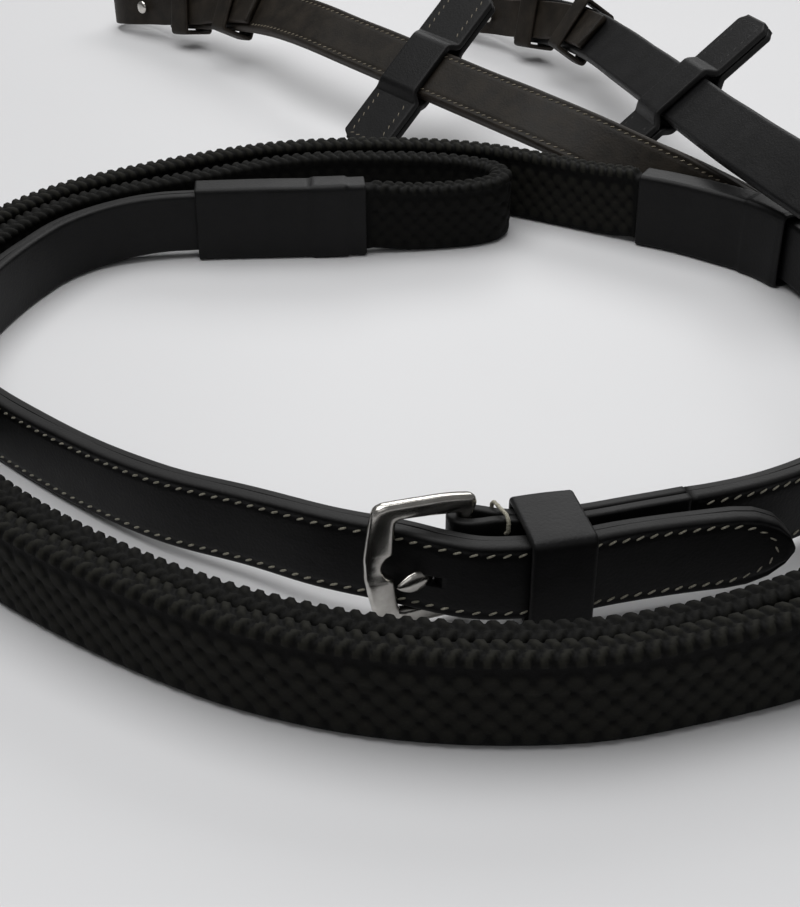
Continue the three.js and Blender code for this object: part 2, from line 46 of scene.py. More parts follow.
cameraSet = {"height": 204.6, "pitchDown": 32.35, "lens": 59.53, "sensor": 36.0}

cameraData = bpy.data.cameras.new("viewCamera")
cameraData.lens = cameraSet["lens"]
cameraData.sensor_width = cameraSet["sensor"]
cameraData.clip_start = 0.01
viewCamera = bpy.data.objects.new("viewCamera", cameraData)
viewCamera.location = (tableShift[0] * milli, tableShift[1] * milli, cameraSet["height"] * milli)
viewCamera.rotation_euler = (math.radians(90 - cameraSet["pitchDown"]), 0, 0)
bpy.context.scene.collection.objects.link(viewCamera)
bpy.context.scene.camera = viewCamera


pointCentreRows = [
    [85.5, 264, 14.5, 0], [74, 262, 15, 0], [60, 259, 15.3, 0], [46.2, 255.6, 15.3, 0],
    [34, 251.9, 15.3, 0], [25.5, 250.5, 15.3, 0], [16.5, 250.2, 15.3, 0], [9.3, 252.1, 15.3, -1],
    [0, 255.8, 15.3, -3], [-16.4, 261.8, 15, -2], [-33.8, 271.5, 13.8, 0], [-53.8, 282.5, 12, 0],
    [-74.9, 298.5, 10.5, 0], [-99.3, 320.6, 9.7, 0], [-113, 336, 9.5, 0], [-119.5, 352, 9.5, 0],
    [-121, 368, 9.5, 0], [-119.5, 384, 9.5, 0], [-116, 398, 9.5, 0], [-111, 412, 9.5, 0],
    [-104.5, 424.5, 9.8, 0], [-95, 434, 10.2, 0], [-84, 438.9, 11.4, 0], [-75, 441, 12, 0],
    [-66, 442.3, 12, 0], [-52, 443.4, 12, 0], [-38.5, 444.2, 12, 0],
]
pointGripRows = [
    [-37, 444.3, 12, 0], [-23, 445, 12, 0], [-9, 446.2, 12, 0], [3, 447.5, 10.8, 0],
    [14, 449.2, 10.5, 0], [24, 451.6, 10.5, 0], [30.8, 455.8, 10.5, 0], [32.8, 461.6, 10.5, 0],
    [29.4, 467.6, 10.5, 0], [21, 472, 10.5, 0], [9, 474.8, 10.5, 0], [-8, 475.8, 10.5, 0],
    [-24, 475.4, 10.5, 0], [-40, 471.6, 10.5, 0], [-55, 464.6, 10.5, 0], [-71, 456.4, 10.5, 0],
    [-84, 450, 10.5, 0], [-95, 443.6, 10.5, 0], [-105, 435.5, 10.5, 0], [-113, 425, 10.5, 0],
    [-119.5, 412, 10.5, 0], [-124, 398, 10.5, 0], [-127.5, 384, 10.5, 0], [-129, 368, 10.5, 0],
    [-127.5, 350, 10.5, 0], [-121, 328, 10.5, 0], [-111, 306, 10.5, 0], [-98, 286, 10.5, 0],
    [-83, 270.5, 10.5, 0], [-66, 257, 10.5, 0], [-48.5, 245.6, 10.5, 0], [-32.5, 237.3, 10.5, 0],
    [-17.2, 231.5, 10.5, 0], [-2.6, 227.9, 10.5, 0], [15.9, 225.9, 10.5, 0], [37.8, 226.9, 10.5, 0],
    [56.5, 231.6, 10.5, 0], [78, 240, 11, 0], [92, 247.4, 12, 0], [103, 255.4, 12, 0],
    [114, 265, 12, 0],
]
pointCheekRows = [
    [115.2, 266.4, 12, 0], [126, 279, 12, 0], [133, 289.5, 12, 0], [139, 302, 10.6, 0],
    [143.5, 318, 9.5, 0], [145.4, 340, 9.5, 0], [144.2, 362, 9.5, 0], [141, 384, 9.5, 0],
    [135.8, 406, 9.5, 0], [127.5, 428, 9.5, 0], [115, 446, 9.7, 0], [102, 458.5, 12.3, -12],
    [88.2, 469.6, 15.5, -24], [73, 482, 18.7, -36], [58.6, 493.5, 21.9, -46], [46, 504, 24, -50],
    [33.2, 518, 25, -50], [20.3, 532, 26, -50], [-5.3, 560, 28, -50], [-18.2, 574, 29, -50],
    [-31, 588, 30, -50], [-44.5, 607, 28.9, -46], [-58, 627.5, 25.8, -38], [-72.5, 646.5, 21.8, -27],
    [-87, 661.5, 17.8, -15], [-101.5, 673.5, 14.8, -6],
]
buckleCentreRows = [
    [14, 259.4, 15.3, 5], [22, 259.3, 15.3, 5], [30, 259.7, 15.3, 3], [42, 262.2, 15.3, 1],
    [55, 266.6, 15.3, 0], [68, 270.4, 15.2, 0], [80, 275.4, 14.8, 0], [91, 282.4, 14, 0],
    [102, 292, 12.8, 0], [113, 305, 11.4, 0], [122, 321, 10.2, 0], [128.5, 340, 9.5, 0],
    [131, 362, 9.5, 0], [130, 383, 9.5, 0], [126.5, 402, 10.4, 0], [119, 420, 12, 0],
    [111, 431.5, 12, 0], [102, 439, 12, 0],
]
buckleGripRows = [
    [100.4, 440.2, 12, 0], [91, 447, 12, 0], [79, 453.6, 12, 0], [67.5, 460, 10.8, 0],
    [54, 467.4, 10.5, 0], [41, 474.4, 10.5, 0], [27, 480.4, 10.5, 0], [10, 484, 10.5, 0],
    [-8, 485, 10.5, 0], [-24, 484.2, 10.5, 0], [-42, 481, 10.5, 0], [-57, 475.4, 10.5, 0],
    [-74.6, 466.4, 10.5, 0], [-88.4, 458.2, 10.5, 0], [-100.4, 450, 10.5, 0], [-111, 440, 10.5, 0],
    [-119.8, 428, 10.5, 0], [-127, 414.4, 10.5, 0], [-132, 399.6, 10.5, 0], [-135.4, 385, 10.5, 0],
    [-137, 368, 10.5, 0], [-135.6, 349, 10.5, 0], [-130, 326, 10.5, 0], [-121, 303, 10.5, 0],
    [-106.5, 281.5, 10.5, 0], [-87.5, 264, 10.5, 0], [-70, 250.7, 10.5, 0], [-51.5, 238.8, 10.5, 0],
    [-35, 230.1, 10.5, 0], [-19.2, 224.2, 10.5, 0], [-3.5, 220.4, 10.5, 0], [16, 218.4, 10.5, 0],
    [38.7, 219.4, 10.5, 0], [58.3, 224.2, 10.5, 0], [80.1, 231.2, 11, 0], [97, 238.2, 12, 0],
    [110, 246, 12, 0], [122, 255, 12, 0],
]
buckleCheekRows = [
    [123.6, 256.5, 12, 0], [135, 268, 12, 0], [141, 276.4, 12, 0], [148.5, 290, 11.6, 0],
    [154.8, 306, 14.6, 0], [157.2, 326, 21.5, -4], [154, 345, 28.6, -13], [146, 362.5, 32.8, -24],
    [136, 379, 34.8, -34], [126.5, 397, 35.8, -42], [119, 415.5, 36, -46], [112.6, 434, 35.8, -49],
    [107.2, 453, 35, -50], [103.1, 475, 33.1, -50], [99, 497, 31.3, -50], [94.9, 519, 29.4, -50],
    [90.8, 541, 27.6, -50], [86.7, 563, 25.7, -50], [82.6, 585, 23.9, -49], [78, 606, 21.8, -43],
    [71.4, 626, 19.4, -32], [62.4, 643, 16.8, -19], [52, 656, 14.6, -7],
]


def unit(vectors):
    return vectors / np.linalg.norm(vectors, axis=-1, keepdims=True)


def smoothShare(share):
    share = np.clip(share, 0, 1)
    return share * share * (3 - 2 * share)


# A centripetal Catmull-Rom curve: each span is a cubic whose end slopes come from the square roots
# of the distances between its four points. Values given with the points are carried along it.
def curveThrough(points, carried, perSpan=24):
    whole = np.vstack([2 * points[0] - points[1], points, 2 * points[-1] - points[-2]])
    gaps = np.sqrt(np.linalg.norm(np.diff(whole, axis=0), axis=1))[:, None]
    a, b, c, d = whole[:-3], whole[1:-2], whole[2:-1], whole[3:]
    before, middle, after = gaps[:-2], gaps[1:-1], gaps[2:]
    slopeIn = ((b - a) / before - (c - a) / (before + middle) + (c - b) / middle) * middle
    slopeOut = ((c - b) / middle - (d - b) / (middle + after) + (d - c) / after) * middle
    share = (np.arange(perSpan) / perSpan)[None, :, None]
    bend = (3 * (c - b) - 2 * slopeIn - slopeOut)[:, None]
    twist = (2 * (b - c) + slopeIn + slopeOut)[:, None]
    spans = b[:, None] + slopeIn[:, None] * share + bend * share**2 + twist * share**3
    line = np.vstack([spans.reshape(-1, 3), points[-1:]])
    eased = smoothShare(share)
    held = carried[:-1, None] * (1 - eased) + carried[1:, None] * eased
    return line, np.vstack([held.reshape(-1, carried.shape[1]), carried[-1:]])


def alongOf(line):
    length = np.concatenate([[0], np.cumsum(np.linalg.norm(np.diff(line, axis=0), axis=1))])
    return length, unit(np.gradient(line, length, axis=0))


# The strap's axes: along the route, left of it, and upright, the last two turned by the lean.
def routeOf(rows):
    rows = np.array(rows, float)
    line, lean = curveThrough((rows[:, :3] + tableShift) * milli, rows[:, 3:])
    length, along = alongOf(line)
    left = unit(np.cross([0, 0, 1], along))
    upright = np.cross(along, left)
    turn = np.radians(lean)
    return {
        "length": length, "line": line, "along": along,
        "side": left * np.cos(turn) - upright * np.sin(turn),
        "width": upright * np.cos(turn) + left * np.sin(turn),
    }


# A band through spots beside a strap, its width kept as near as it can be to the guide's.
def bandOf(spots, guides):
    line, guide = curveThrough(spots, guides)
    length, along = alongOf(line)
    side = unit(np.cross(guide, along))
    return {"length": length, "line": line, "along": along, "side": side, "width": np.cross(along, side)}


def endOf(route):
    return route["length"][-1]


# Line and axes at given lengths; past either end the route runs straight on.
def axesAt(route, places):
    places = np.atleast_1d(np.asarray(places, float))
    inside = np.clip(places, 0, endOf(route))
    read = {
        key: np.stack([np.interp(inside, route["length"], route[key][:, k]) for k in range(3)], axis=-1)
        for key in ("line", "along", "side", "width")
    }
    for key in ("along", "side", "width"):
        read[key] = unit(read[key])
    read["line"] = read["line"] + read["along"] * (places - inside)[:, None]
    return read


pointCentre = routeOf(pointCentreRows)
pointGrip = routeOf(pointGripRows)
pointCheek = routeOf(pointCheekRows)
buckleCentre = routeOf(buckleCentreRows)
buckleGrip = routeOf(buckleGripRows)
buckleCheek = routeOf(buckleCheekRows)
print("routes laid out")


# One socket, with sums written as Python sums.
class Wire:
    def __init__(self, sheet, socket):
        self.sheet = sheet
        self.socket = socket

    def sum(self, operation, first, second):
        return self.sheet.put("ShaderNodeMath", {"operation": operation}, {0: first, 1: second})

    def __add__(self, other):
        return self.sum("ADD", self, other)

    def __radd__(self, other):
        return self.sum("ADD", other, self)

    def __mul__(self, other):
        return self.sum("MULTIPLY", self, other)

    def __rmul__(self, other):
        return self.sum("MULTIPLY", other, self)

    def __sub__(self, other):
        return self.sum("SUBTRACT", self, other)

    def __rsub__(self, other):
        return self.sum("SUBTRACT", other, self)


class FinishSheet:
    def __init__(self, name):
        self.material = bpy.data.materials.new(name)
        self.material.use_nodes = True
        self.nodes = self.material.node_tree.nodes
        self.links = self.material.node_tree.links
        self.shader = self.nodes["Principled BSDF"]

    def feed(self, socket, value):
        if isinstance(value, Wire):
            self.links.new(value.socket, socket)
        else:
            socket.default_value = value

    # Adds any node: its settings first, then its sockets' values or links.
    def put(self, kind, settings, sockets, output=0):
        node = self.nodes.new(kind)
        stops = settings.get("stops")
        for key, value in settings.items():
            if key != "stops":
                setattr(node, key, value)
        if stops:
            while len(node.color_ramp.elements) < len(stops):
                node.color_ramp.elements.new(1)
            for element, (place, shade) in zip(node.color_ramp.elements, stops):
                element.position = place
                element.color = shade
        for key, value in sockets.items():
            self.feed(node.inputs[key], value)
        return Wire(self, node.outputs[output])

    def set(self, **sockets):
        for key, value in sockets.items():
            self.feed(self.shader.inputs[key.replace("_", " ")], value)

    def place(self):
        return self.put("ShaderNodeTexCoord", {}, {}, "Object")

    def noise(self, scale, detail=4.0, rough=0.55):
        return self.put(
            "ShaderNodeTexNoise", {}, {"Vector": self.place(), "Scale": scale, "Detail": detail, "Roughness": rough}
        )

    def cells(self, scale):
        return self.put(
            "ShaderNodeTexVoronoi", {"feature": "SMOOTH_F1"}, {"Vector": self.place(), "Scale": scale}
        )

    def mark(self, name):
        return self.put("ShaderNodeAttribute", {"attribute_name": name}, {}, "Fac")

    def between(self, share, low, high):
        return self.put("ShaderNodeMix", {"data_type": "RGBA"}, {0: share, 6: low, 7: high}, 2)

    def ramp(self, share, low, high):
        return self.put("ShaderNodeMapRange", {}, {0: share, 1: low, 2: high})

    def bump(self, height, strength, distance):
        sockets = {"Height": height, "Strength": strength, "Distance": distance}
        return self.put("ShaderNodeBump", {}, sockets)


def shade(red, green, blue):
    return (red, green, blue, 1.0)


# Waxed leather: pebbled grain, slow creases across the surface, paler and duller worn rims.
def leatherFinish(name, look):
    sheet = FinishSheet(name)
    creases = sheet.noise(look["creaseScale"], 6.0, 0.62)
    pebbles = sheet.cells(look["pebbleScale"])
    fine = sheet.noise(look["fineScale"], 3.0)
    worn = sheet.ramp(sheet.mark("rim") * 0.75 + creases * 0.5, 0.62, 1.1)
    body = sheet.between(sheet.ramp(creases, 0.35, 0.68), look["dark"], look["light"])
    height = pebbles * look["pebbleDepth"] + creases * look["creaseDepth"] + fine * look["fineDepth"]
    sheet.set(
        Base_Color=sheet.between(worn, body, look["worn"]),
        Roughness=look["roughness"] + creases * 0.16 + worn * 0.08,
        Specular_IOR_Level=look["specular"],
        Normal=sheet.bump(height, look["bump"], 0.0004),
    )
    return sheet.material


leatherLook = {
    "dark": shade(0.0014, 0.0014, 0.0016), "light": shade(0.0042, 0.0041, 0.0044), "worn": shade(0.014, 0.0138, 0.0138),
    "creaseScale": 140.0, "pebbleScale": 1500.0, "fineScale": 3400.0,
    "pebbleDepth": 0.5, "creaseDepth": 0.9, "fineDepth": 0.25,
    "roughness": 0.4, "specular": 0.2, "bump": 0.26,
}
cheekLook = dict(
    leatherLook, dark=shade(0.0085, 0.0066, 0.0046), light=shade(0.021, 0.0165, 0.0118),
    worn=shade(0.026, 0.02, 0.0155), roughness=0.44,
)
leather = leatherFinish("waxedLeather", leatherLook)
cheekLeather = leatherFinish("cheekLeather", cheekLook)

# Rubber colours for the front grip, the lit copy of the grip rubber.
litRubberLook = {
    "low": shade(0.001, 0.001, 0.0008), "high": shade(0.0085, 0.0083, 0.0062), "dustAndHighlight": shade(0.019, 0.0184, 0.0142),
}


# Moulded rubber: raised pimples and ribs painted paler as painted highlight, the ground between them painted darker as
# painted shade, with a fine dusting.
def rubberFinish(name, look):
    sheet = FinishSheet(name)
    lift = sheet.mark("lift")
    dustAndHighlight = sheet.noise(900.0, 5.0, 0.7)
    # Painted highlight and shade: the ground colour runs from dark in the hollows to pale on the raised pattern.
    ground = sheet.between(sheet.ramp(lift, 0.15, 0.95), look["low"], look["high"])
    sheet.set(
        # The pale mix is real dusting from the noise plus painted highlight from the lift on the raised parts.
        Base_Color=sheet.between(sheet.ramp(dustAndHighlight * 0.7 + lift * 0.35, 0.62, 0.95), ground, look["dustAndHighlight"]),
        Roughness=0.62 + dustAndHighlight * 0.25,
        Specular_IOR_Level=0.14,
        Normal=sheet.bump(sheet.noise(2600.0, 4.0), 0.3, 0.0003),
    )
    return sheet.material


# A darker copy of the same rubber: painted shade for the back grip, which lies in the dark gap between the straps.
shadedRubberLook = dict(
    litRubberLook, low=shade(0.001, 0.001, 0.0008), high=shade(0.0032, 0.0031, 0.0024), dustAndHighlight=shade(0.007, 0.0068, 0.005),
)
litRubber = rubberFinish("litRubber", litRubberLook)
shadedRubber = rubberFinish("shadedRubber", shadedRubberLook)

steelLook = {"bright": shade(0.72, 0.7, 0.66), "dull": shade(0.46, 0.44, 0.41)}


def steelFinish(name, look):
    sheet = FinishSheet(name)
    haze = sheet.noise(260.0, 5.0, 0.6)
    scratches = sheet.noise(2400.0, 2.0)
    sheet.set(
        Base_Color=sheet.between(sheet.ramp(haze, 0.3, 0.75), look["bright"], look["dull"]),
        Metallic=1.0,
        Roughness=0.13 + haze * 0.16,
        Normal=sheet.bump(scratches + haze, 0.12, 0.0001),
    )
    return sheet.material


steel = steelFinish("polishedSteel", steelLook)

paleThreadLook = {"low": shade(0.2, 0.185, 0.14), "high": shade(0.46, 0.44, 0.36)}
tanThreadLook = {"low": shade(0.1, 0.085, 0.06), "high": shade(0.26, 0.225, 0.165)}
darkThreadLook = {"low": shade(0.006, 0.006, 0.006), "high": shade(0.022, 0.021, 0.02)}


# Waxed thread: fine twisted strands, their hollows painted darker as painted shade.
def threadFinish(name, look):
    sheet = FinishSheet(name)
    strands = sheet.noise(3800.0, 3.0)
    sheet.set(
        Base_Color=sheet.between(sheet.ramp(strands, 0.35, 0.65), look["low"], look["high"]),
        Roughness=0.6 + strands * 0.2,
        Normal=sheet.bump(strands, 0.5, 0.0002),
    )
    return sheet.material


paleThread = threadFinish("paleThread", paleThreadLook)
tanThread = threadFinish("tanThread", tanThreadLook)
darkThread = threadFinish("darkThread", darkThreadLook)
print("finishes made")


tableGap = 0.02 * milli


# One piece from its corners and faces: ridden on its body and put in place of its CAD nodes.
def finishPiece(name, verts, faces, material, body="root", replaced=(), marks=None):
    mesh = bpy.data.meshes.new(name)
    verts = np.array(verts, float)
    verts[:, 2] = np.maximum(verts[:, 2], tableGap)  # what would dip below the table lies flat on it
    mesh.from_pydata(verts.tolist(), [], faces)
    mesh.polygons.foreach_set("use_smooth", [True] * len(mesh.polygons))
    for key, values in (marks or {}).items():
        layer = mesh.attributes.new(key, "FLOAT", "POINT")
        layer.data.foreach_set("value", np.asarray(values, np.float32).ravel())
    mesh.materials.append(material)
    mesh.update()
    piece = bpy.data.objects.new(name, mesh)
    bpy.context.scene.collection.objects.link(piece)
    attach(piece, body)
    if replaced:
        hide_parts(*replaced)
    return piece


# Quads between neighbouring rows and columns of a grid; a wrapped direction joins its ends.
def gridFaces(rows, columns, wrapRows, wrapColumns=True, start=0):
    i = np.arange(rows if wrapRows else rows - 1)[:, None]
    j = np.arange(columns if wrapColumns else columns - 1)[None, :]
    nextRow = (i + 1) % rows
    nextColumn = (j + 1) % columns
    corners = [i * columns + j, i * columns + nextColumn, nextRow * columns + nextColumn, nextRow * columns + j]
    return (np.stack(np.broadcast_arrays(*corners), axis=-1).reshape(-1, 4) + start).tolist()


# A closed body: section loops carried along, with a flat face at each end.
def closedBody(points):
    rows, columns = points.shape[:2]
    faces = gridFaces(rows, columns, False)
    faces.append(list(range(columns))[::-1])
    faces.append(list(range((rows - 1) * columns, rows * columns)))
    return points.reshape(-1, 3), faces


# A point of the section is the line's point, plus off times side, plus up times width.
def carry(route, places, off, up):
    axes = axesAt(route, places)
    return (
        axes["line"][:, None] + off[..., None] * axes["side"][:, None] + up[..., None] * axes["width"][:, None]
    )


# A rectangle with rounded corners, anticlockwise: points spread evenly on sides and corners.
# The corners are given as right bottom, right top, left top, left bottom, or as one radius.
def sectionOf(thick, wide, corner, longSteps, shortSteps=4, cornerSteps=4):
    radii = [corner] * 4 if np.isscalar(corner) else list(corner)
    signs = [(1, -1), (1, 1), (-1, 1), (-1, -1)]
    arcs = []
    for k, ((x, y), radius) in enumerate(zip(signs, radii)):
        turn = np.radians(-90 + 90 * k + 90 * np.arange(cornerSteps + 1) / cornerSteps)
        middle = np.array([x * (thick / 2 - radius), y * (wide / 2 - radius)])
        arcs.append(middle + radius * np.stack([np.cos(turn), np.sin(turn)], axis=-1))
    loop = []
    for k, steps in enumerate([longSteps, shortSteps, longSteps, shortSteps]):
        start, target = arcs[k][-1], arcs[(k + 1) % 4][0]
        share = (np.arange(1, steps) / steps)[:, None]
        loop += [arcs[k], start + (target - start) * share]
    return np.vstack(loop)


def outwardOf(section):
    tangent = np.roll(section, -1, axis=0) - np.roll(section, 1, axis=0)
    return unit(np.stack([tangent[:, 1], -tangent[:, 0]], axis=-1))


# Slow unevenness: a few sines of unequal lengths, between about -1 and 1.
def drift(places, seed):
    waves = [(37, 0.5), (61, 0.3), (113, 0.2)]
    fullTurn, seedStep = 6.283, 1.7
    return sum(
        share * np.sin(places / milli * fullTurn / wave + seed * (k + seedStep))
        for k, (wave, share) in enumerate(waves)
    )


strapSet = {
    "width": 19.0, "faceThick": 2.8, "liningThick": 2.41, "plyGap": 0.04, "outerCorner": 1.15, "innerCorner": 0.14,
    "step": 1.6, "grooveAt": 7.4, "grooveDepth": 0.22, "grooveWide": 0.7, "wander": 0.14,
}
strapThick = strapSet["faceThick"] + strapSet["plyGap"] + strapSet["liningThick"]
faceMiddle = (strapThick - strapSet["faceThick"]) / 2
liningMiddle = (strapThick - strapSet["liningThick"]) / 2


# One layer: a rounded slab with a shallow groove for each stitch row on its outer side.
def strapLayer(name, route, start, end, thick, middle, material, seed, taper=None, groove=True):
    cut = strapSet
    rounds = [cut["outerCorner"], cut["outerCorner"], cut["innerCorner"], cut["innerCorner"]]
    if middle < 0:
        rounds = rounds[2:] + rounds[:2]
    section = sectionOf(thick, cut["width"], rounds, 34, 3, 5)
    off, up = section[:, 0].copy(), section[:, 1]
    outer = np.sign(middle) * off > thick / 2 - 0.05
    if groove:
        hollow = np.exp(-(((np.abs(up) - cut["grooveAt"]) / cut["grooveWide"]) ** 2)) * cut["grooveDepth"]
        off -= np.sign(middle) * hollow * outer
    places = np.linspace(start, end, max(4, int((end - start) / (cut["step"] * milli))))
    narrowed = np.ones(len(places)) if taper is None else taper(places)
    wander = cut["wander"] * drift(places, seed)
    offs = (off[None, :] + middle + 0 * places[:, None]) * milli
    ups = (up[None, :] * narrowed[:, None] + wander[:, None] * (up[None, :] > 8.6)) * milli
    points = carry(route, places, offs, ups)
    verts, faces = closedBody(points)
    rim = smoothShare((np.abs(up) - 8.2) / 1.3)
    marks = {"rim": np.broadcast_to(rim, offs.shape)}
    return finishPiece(name + "_skin", verts, faces, material, "root", (name,), marks)


# The pointed end: half the width grows with the distance from the tip as a rounded arrow.
def pointTaper(places):
    fromTip = places / milli - 0.9
    return np.interp(fromTip, [0, 0.5, 1.6, 5.1, 9.6, 14.6], [0.04, 0.2, 0.4, 0.75, 0.94, 1.0])


def strapPair(half, part, route, start, end, faceSide, material, taper=None):
    base = f"{half}_{part}"
    face = strapLayer(
        base + "_face", route, start, end, strapSet["faceThick"], faceMiddle * faceSide, material, 1.3, taper
    )
    lining = strapLayer(
        base + "_lining", route, start, end, strapSet["liningThick"], -liningMiddle * faceSide, material,
        4.1, taper, groove=False,
    )
    return face, lining


chapeLeg = 49.0
pointLayers = strapPair(
    "point_half", "centre", pointCentre, 1.0 * milli, endOf(pointCentre), 1, leather, pointTaper
)
strapPair(
    "buckle_half", "centre", buckleCentre, (chapeLeg + 0.3) * milli, endOf(buckleCentre), -1, leather
)
strapPair("point_half", "cheek", pointCheek, 0, endOf(pointCheek), 1, cheekLeather)
strapPair("buckle_half", "cheek", buckleCheek, 0, endOf(buckleCheek), -1, leather)
print("strap layers made")


gripSet = {
    "width": 21.0, "thick": 6.5, "corner": 1.5, "step": 0.55, "sink": 0.2, "bare": 27.0,
    "ribPitch": 3.45, "ribLift": 0.75, "ribDown": 2.2, "ribSlant": 0.5,
    "scalePitch": 5.2, "scaleRadius": 2.05, "scaleLift": 0.5, "seamAt": 2.1, "seamDepth": 0.45,
}
scaleRows = [(5.0, 0), (2.7, 1), (-0.1, 0), (-2.5, 1), (-4.9, 0), (-7.3, 1)]


# A flat disc with a steep edge that repeats along the grip: one minus a high power of the distance.
def discs(along, up, middle, shift):
    g = gripSet
    near = (along + shift * g["scalePitch"] / 2) % g["scalePitch"] - g["scalePitch"] / 2
    share = (near**2 + (up - middle) ** 2) / g["scaleRadius"] ** 2
    return np.clip(1 - share**2, 0, 1) ** 0.5 * (1 + 0.28 * (up - middle) / g["scaleRadius"])


# Height of the moulded pattern in mm, at a length along the grip, a height and an offset on it.
def rubberLift(along, up, off):
    g = gripSet
    stagger = np.where(off > 0, 0.5, 0.0) * g["ribPitch"]
    wave = np.sin(2 * math.pi * (along + stagger + g["ribSlant"] * np.abs(off)) / g["ribPitch"])
    ribs = smoothShare((wave + 0.45) / 0.6) * (1 - 0.5 * smoothShare((0.7 - np.abs(off)) / 0.5))
    onTop = smoothShare((up - (g["width"] / 2 - g["ribDown"])) / 0.5)
    scales = np.max([discs(along, up, middle, shift) for middle, shift in scaleRows], axis=0)
    onFace = smoothShare((7.3 - up) / 0.5) * smoothShare((up + 9.6) / 0.5)
    return ribs * onTop * g["ribLift"] + scales * onFace * g["scaleLift"]


def gripSleeve(half, route, finish, taller):
    g = gripSet
    section = sectionOf(g["thick"], g["width"], g["corner"], 27, 7, 3)
    outward = outwardOf(section)
    places = np.linspace(0, endOf(route), int(endOf(route) / (g["step"] * milli)))
    along = (places / milli)[:, None] + 0 * section[None, :, 0]
    up = section[None, :, 1] + 0 * along
    off = section[None, :, 0] + 0 * along
    lift = rubberLift(along, up, off)
    fromEnds = np.minimum(along, endOf(route) / milli - along)
    shown = smoothShare((fromEnds - g["bare"]) / 1.5)
    seam = np.exp(-(((up - g["seamAt"]) / 0.32) ** 2)) * g["seamDepth"]
    height = (lift - g["sink"] - seam) * shown - 0.05
    raised = taller * shown * (up / g["width"] + 0.5)
    offs = (off + outward[None, :, 0] * height) * milli
    ups = (up + raised + outward[None, :, 1] * height) * milli
    verts, faces = closedBody(carry(route, places, offs, ups))
    marks = {"lift": np.clip(lift / 0.6, 0, 1) * shown}
    finishPiece(f"{half}_grip_sleeve", verts, faces, finish, "root", (f"{half}_grip_rubber",), marks)
    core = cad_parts[f"{half}_grip_core"].data
    core.materials.clear()
    core.materials.append(leather)


# The back grip takes the darker copy as painted shade; the front grip takes the lit copy.
gripSleeve("point_half", pointGrip, shadedRubber, 0.2)
gripSleeve("buckle_half", buckleGrip, litRubber, 1.6)
print("rubber grips made")


# Outer loops run forward and inner loops run back, joined into one closed wall with round lips.
def sleeveWall(route, start, end, thick, wide, corner, wall, shift=0.0, swell=None, steps=26):
    ends = np.array([0.0, 0.02, 0.07, 0.16])
    share = np.unique(np.concatenate([ends * 4 / steps, np.linspace(0, 1, steps), 1 - ends * 4 / steps]))
    places = start + (end - start) * share
    lipReach = wall * 0.45
    lip = np.minimum(np.minimum(share, 1 - share) * (end - start) / milli / lipReach, 1)
    lipRound = lipReach * (1 - np.sqrt(1 - (1 - lip) ** 2))
    outer = sectionOf(thick, wide, corner, 16, 6, 5)
    inner = sectionOf(thick - 2 * wall, wide - 2 * wall, max(0.3, corner - wall), 16, 6, 5)
    normal = outwardOf(outer)
    raised = -lipRound + (swell(places) if swell is not None else 0)
    out = outer[None] + normal[None] * raised[:, None, None]
    back = np.broadcast_to(inner[None], out.shape)[::-1] + normal[None] * lipRound[::-1, None, None]
    loops = np.concatenate([out, back])
    everyPlace = np.concatenate([places, places[::-1]])
    offs = (loops[..., 0] + shift) * milli
    ups = loops[..., 1] * milli
    points = carry(route, everyPlace, offs, ups)
    rows, columns = points.shape[:2]
    rim = np.concatenate([1 - lip, np.zeros(len(places))])[:, None] + 0 * offs
    return points.reshape(-1, 3), gridFaces(rows, columns, True), {"rim": rim}


wrapSet = {"reach": 26.0, "thick": 9.5, "wide": 24.0, "corner": 1.6, "wall": 1.2}
wrapBands = {
    "point_half_inner_wrap": [(36, 48, 0.5)],
    "point_half_outer_wrap": [(40, 50, 0.35)],
    "buckle_half_inner_wrap": [(1, 17, 0.4)],
    "buckle_half_outer_wrap": [(4, 14, 0.35)],
}


def wrapRoute(before, after):
    reach = wrapSet["reach"] * milli
    first = axesAt(before, np.linspace(endOf(before) - reach, endOf(before), 5))
    second = axesAt(after, np.linspace(0, reach, 5)[1:])
    return bandOf(np.vstack([first["line"], second["line"]]), np.vstack([first["width"], second["width"]]))


def leatherWrap(name, before, after):
    route = wrapRoute(before, after)

    def swell(places):
        near, edge = places / milli, 0.8
        bands = sum(
            high * smoothShare((near - low) / edge) * smoothShare((top - near) / edge)
            for low, top, high in wrapBands[name]
        )
        return bands + 0.08 * drift(places, 2.2)

    w = wrapSet
    verts, faces, marks = sleeveWall(
        route, 0, endOf(route), w["thick"], w["wide"], w["corner"], w["wall"], swell=swell, steps=70
    )
    finishPiece(name + "_sleeve", verts, faces, leather, "root", (name,), marks)


leatherWrap("point_half_inner_wrap", pointCentre, pointGrip)
leatherWrap("point_half_outer_wrap", pointGrip, pointCheek)
leatherWrap("buckle_half_inner_wrap", buckleCentre, buckleGrip)
leatherWrap("buckle_half_outer_wrap", buckleGrip, buckleCheek)

keeperSet = {"wall": 1.6, "gap": 0.7, "length": 10.0, "centreLength": 14.0, "centreAt": 54.2, "apart": 9.0}


def loopRound(name, route, at, thick, wide, length, material, shift=0.0):
    k = keeperSet
    grown = 2 * (k["wall"] + k["gap"])
    axes = axesAt(route, at * milli)
    half = length / 2 * milli
    ends = np.linspace(-half, half, 4)[:, None]
    straight = bandOf(axes["line"] + axes["along"] * ends, np.repeat(axes["width"], 4, axis=0))
    verts, faces, marks = sleeveWall(
        straight, 0, endOf(straight), thick + grown, wide + grown, 1.7, k["wall"], shift,
        lambda places: 0.16 * np.sin(places / endOf(straight) * math.pi), 14,
    )
    finishPiece(name + "_loop", verts, faces, material, "root", (name,), marks)


